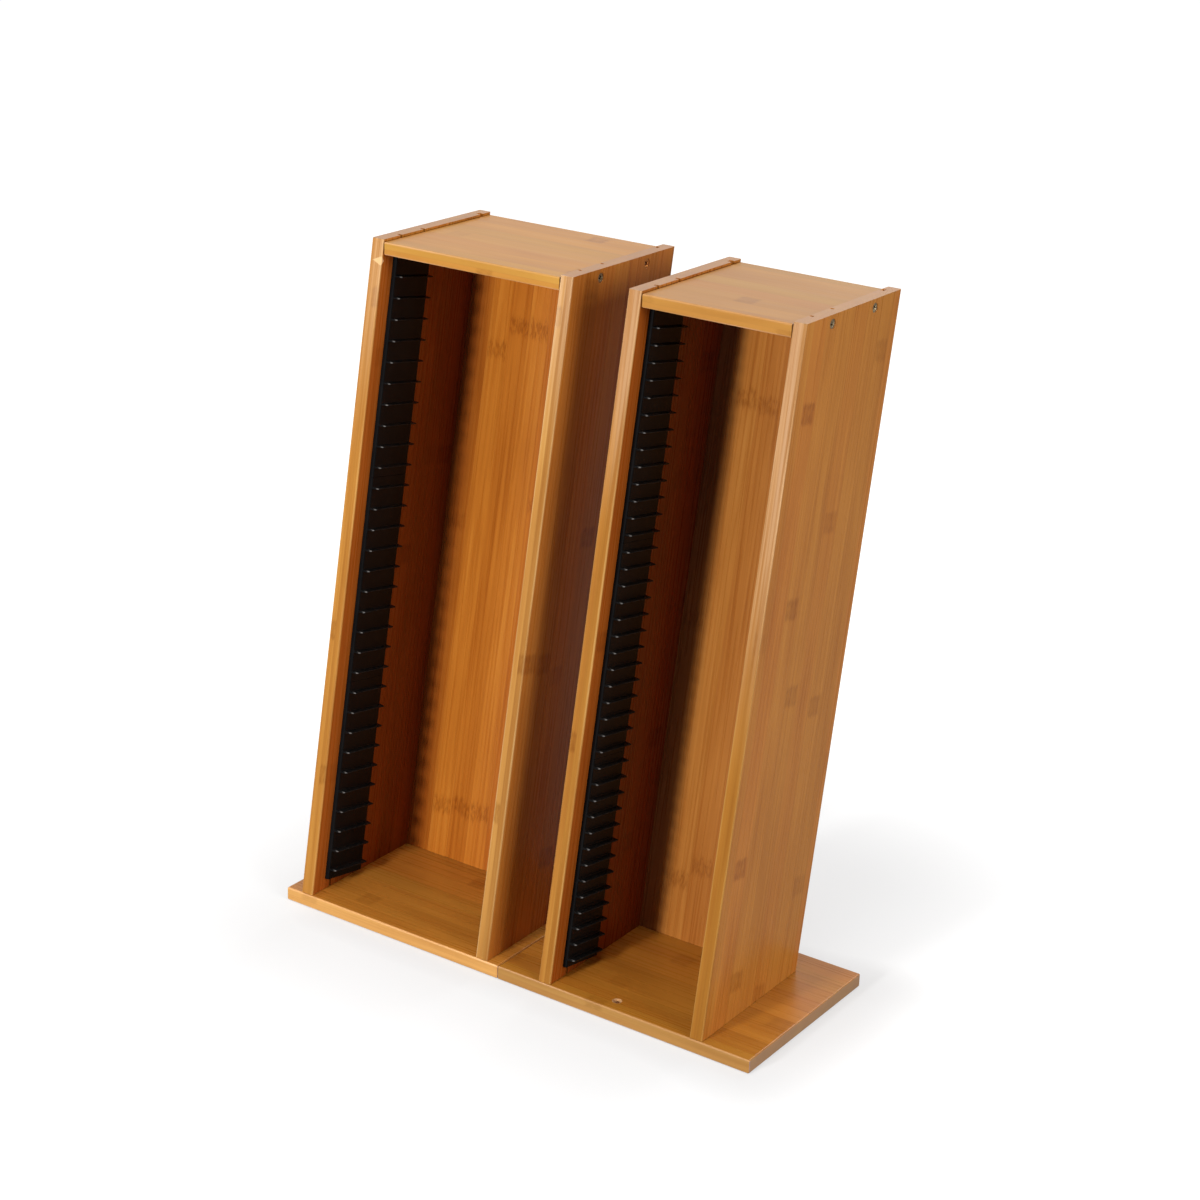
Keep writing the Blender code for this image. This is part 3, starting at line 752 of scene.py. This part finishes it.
def screwSurface(turn):  # rings from the middle of the head to the point: radius and height over the angle
    s = screws
    angle = 2.0 * np.pi * np.arange(s["around"]) / s["around"]
    # Head face: flat, less two crossing arms
    radius = np.linspace(0.0, s["head"] - s["land"], s["headRings"])[:, None]
    u = np.abs(radius * np.cos(angle - turn))
    w = np.abs(radius * np.sin(angle - turn))
    deep = np.maximum(armDepth(u, w), armDepth(w, u))
    rings = [(np.broadcast_to(radius, deep.shape), -s["recess"] * deep, deep)]
    # Rim, countersunk cone, shank with a thread that climbs one pitch a turn, and the point
    cone = np.array([(s["head"], -s["land"]), (s["shank"], s["shank"] - s["head"])])
    plain = np.zeros((2, s["around"]))
    rings.append((plain + cone[:, :1], plain + cone[:, 1:], plain))
    down = np.linspace(s["head"] - s["shank"] + s["neck"], s["length"], s["bodyRings"])[:, None]
    ridge = 1.0 - 2.0 * np.abs((down / s["thread"] + angle / (2.0 * np.pi)) % 1.0 - 0.5)
    ridge = np.clip(ridge * s["ridgeSteep"] - s["ridgeFlat"], 0.0, 1.0)
    taper = np.clip((s["length"] - down) / s["tip"], 0.0, 1.0)
    body = (s["core"] + (s["shank"] - s["core"]) * ridge) * taper
    rings.append((body, np.broadcast_to(-down, body.shape), np.zeros_like(body)))
    radius, height, deep = (np.concatenate(part) for part in zip(*rings))
    return np.stack([radius * np.cos(angle), radius * np.sin(angle), height], axis=-1), deep


def addScrew(node, towards, turn, finish):  # towards is the way the head faces
    low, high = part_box(node)
    head = (low + high) / 2.0 + Vector(towards) * (screws["length"] / 2.0)
    points, deep = screwSurface(turn)
    turned = np.array(Vector((0.0, 0.0, 1.0)).rotation_difference(Vector(towards)).to_matrix())
    placed = points.reshape(-1, 3) @ turned.T + np.array(head)
    faces = gridFaces(*deep.shape)
    addPiece(f"{node}_turned", placed, faces, finish, node, {"recess": deep.ravel()})


bronze = screwFinish("bronzed_screw", screws["bronze"])
copper = screwFinish("coppery_screw", screws["copper"])
turns = np.random.default_rng(screws["seed"]).uniform(0.0, np.pi / 2.0, 4 * screws["perRack"])
topTurns, baseTurns = turns.reshape(2, 2, screws["perRack"]).transpose(1, 0, 2)
for rack, name in enumerate(("left", "right")):
    for number in range(screws["perRack"]):
        side = (-1.0, 0.0, 0.0) if number % 2 == 0 else (1.0, 0.0, 0.0)
        node = f"{name}_tower_top_screw_{number + 1}"
        metal = copper if node == screws["copperNode"] else bronze
        addScrew(node, side, topTurns[rack, number], metal)
        addScrew(f"{name}_base_screw_{number + 1}", (0.0, 0.0, -1.0), baseTurns[rack, number], bronze)
print("screws made")


# Pale floor that reaches past the picture, and a white surround
studio = {
    "floor": 14.0,
    "drop": 0.0002,
    "floorColour": (0.32, 0.32, 0.32, 1.0),
    "floorRough": 0.9,
    "white": (1.0, 1.0, 1.0, 1.0),
    "nearLift": 0.55,
    "nearFade": 0.15,
    "leftEnd": (0.05, 0.0, 0.0),
    "shadow": (-0.12, 0.16, 0.0),
    "shadowLift": 0.60,
    "shadowFade": 0.42,
    "glossShare": 0.15,
    "ambient": 0.05,
}


def offPatch(g, low, high):  # distance on the floor from a rectangle given by two corners
    middle, reach = (low + high) / 2.0, (high - low) / 2.0
    off = g.vector("ABSOLUTE", g.vector("SUBTRACT", g.place(), (middle.x, middle.y, 0.0)))
    off = g.vector("MAXIMUM", g.vector("SUBTRACT", off, (reach.x, reach.y, 1.0)), (0.0, 0.0, 0.0))
    return g.vector("LENGTH", off)


def floorFinish():  # glows a little, but less at the base boards and in a strip behind them, for the shadow
    g = Graph(bpy.data.materials.new("white_floor"))
    path = g.add("ShaderNodeLightPath").outputs
    seen = g.math("MAXIMUM", path["Is Camera Ray"], path["Is Transmission Ray"])
    seen = g.math("MAXIMUM", seen, g.times(path["Is Glossy Ray"], studio["glossShare"]))
    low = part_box("left_base_board")[0] + Vector(studio["leftEnd"])
    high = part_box("right_base_board")[1]
    near = g.ease(offPatch(g, low, high), 0.0, studio["nearFade"], studio["nearLift"])
    behind = offPatch(g, low, high + Vector(studio["shadow"]))
    lift = g.math("MINIMUM", near, g.ease(behind, 0.0, studio["shadowFade"], studio["shadowLift"]))
    return g.finish("Principled BSDF", {
        "Base Color": studio["floorColour"],
        "Roughness": studio["floorRough"],
        "Specular IOR Level": 0.0,
        "Emission Color": studio["white"],
        "Emission Strength": g.times(seen, lift),
    })


def addFloor():
    half = studio["floor"] / 2.0
    square = ((-half, -half), (half, -half), (half, half), (-half, half))
    corners = [(x, y, -studio["drop"]) for x, y in square]
    mesh = bpy.data.meshes.new("floor")
    mesh.from_pydata(corners, [], [(0, 1, 2, 3)])
    mesh.materials.append(floorFinish())
    floor = bpy.data.objects.new("floor", mesh)
    bpy.context.scene.collection.objects.link(floor)


def addWorld():  # white where it is looked at, mirrored or seen through, and a faint fill otherwise
    g = Graph(bpy.data.worlds.new("studio_white"))
    path = g.add("ShaderNodeLightPath").outputs
    seen = g.math("MAXIMUM", path["Is Camera Ray"], path["Is Glossy Ray"])
    seen = g.math("MAXIMUM", seen, path["Is Transmission Ray"])
    level = g.math("MULTIPLY_ADD", seen, 1.0 - studio["ambient"], studio["ambient"])
    bpy.context.scene.world = g.finish("Background", {"Color": studio["white"], "Strength": level})


# Soft boxes: bearing from the open front towards the right, elevation, distance, size and power
lamps = {
    "frontKey": {"bearing": -7.0, "elevation": 11.0, "distance": 2.4, "size": (0.26, 0.26), "power": 47.0},
    "overhead": {"bearing": -15.0, "elevation": 80.0, "distance": 2.2, "size": (1.8, 1.2), "power": 23.0},
    "rightFill": {"bearing": 78.0, "elevation": 20.0, "distance": 2.4, "size": (1.0, 1.3), "power": 33.3},
    "leftFill": {"bearing": -98.0, "elevation": 22.0, "distance": 2.4, "size": (1.2, 1.2), "power": 15.0},
    "rearFill": {"bearing": 180.0, "elevation": 40.0, "distance": 2.4, "size": (1.2, 1.2), "power": 18.0},
}
aim = Vector((0.0, 0.0, 0.30))
glareless = ("frontKey",)  # leaves no highlight on the lacquer


def direction(bearing, elevation):  # unit vector from the object, in the row frame
    b, e = math.radians(bearing), math.radians(elevation)
    return Vector((math.sin(b) * math.cos(e), -math.cos(b) * math.cos(e), math.sin(e)))


def addLamp(name, lamp):
    light = bpy.data.lights.new(name, "AREA")
    light.shape = "RECTANGLE"
    light.size, light.size_y = lamp["size"]
    light.energy = lamp["power"]
    towards = direction(lamp["bearing"], lamp["elevation"])
    piece = bpy.data.objects.new(name, light)
    piece.location = aim + towards * lamp["distance"]
    piece.rotation_euler = towards.to_track_quat("Z", "Y").to_euler()
    piece.visible_glossy = name not in glareless
    bpy.context.scene.collection.objects.link(piece)


addFloor()
addWorld()
for name, lamp in lamps.items():
    addLamp(name, lamp)
print("studio lit")

# Camera at the photograph's viewing angle
view = {
    "bearing": 33.72,
    "elevation": 20.70,
    "roll": 2.243,
    "distance": 2.1692,
    "target": (-0.00758, 0.01108, 0.30264),
    "lens": 77.43,
    "sensor": 36.0,
}


def addCamera():
    towards = direction(view["bearing"], view["elevation"])
    right = Vector((0.0, 0.0, 1.0)).cross(towards).normalized()
    up = towards.cross(right)
    roll = math.radians(view["roll"])
    across = right * math.cos(roll) + up * math.sin(roll)
    upright = up * math.cos(roll) - right * math.sin(roll)
    lens = bpy.data.cameras.new("camera")
    lens.lens = view["lens"]
    lens.sensor_width = view["sensor"]
    camera = bpy.data.objects.new("camera", lens)
    turned = Matrix((across, upright, towards)).transposed().to_4x4()
    camera.matrix_world = Matrix.Translation(Vector(view["target"]) + towards * view["distance"]) @ turned
    bpy.context.scene.collection.objects.link(camera)
    bpy.context.scene.camera = camera


addCamera()
bpy.context.scene.view_settings.view_transform = "Standard"
print("camera placed")
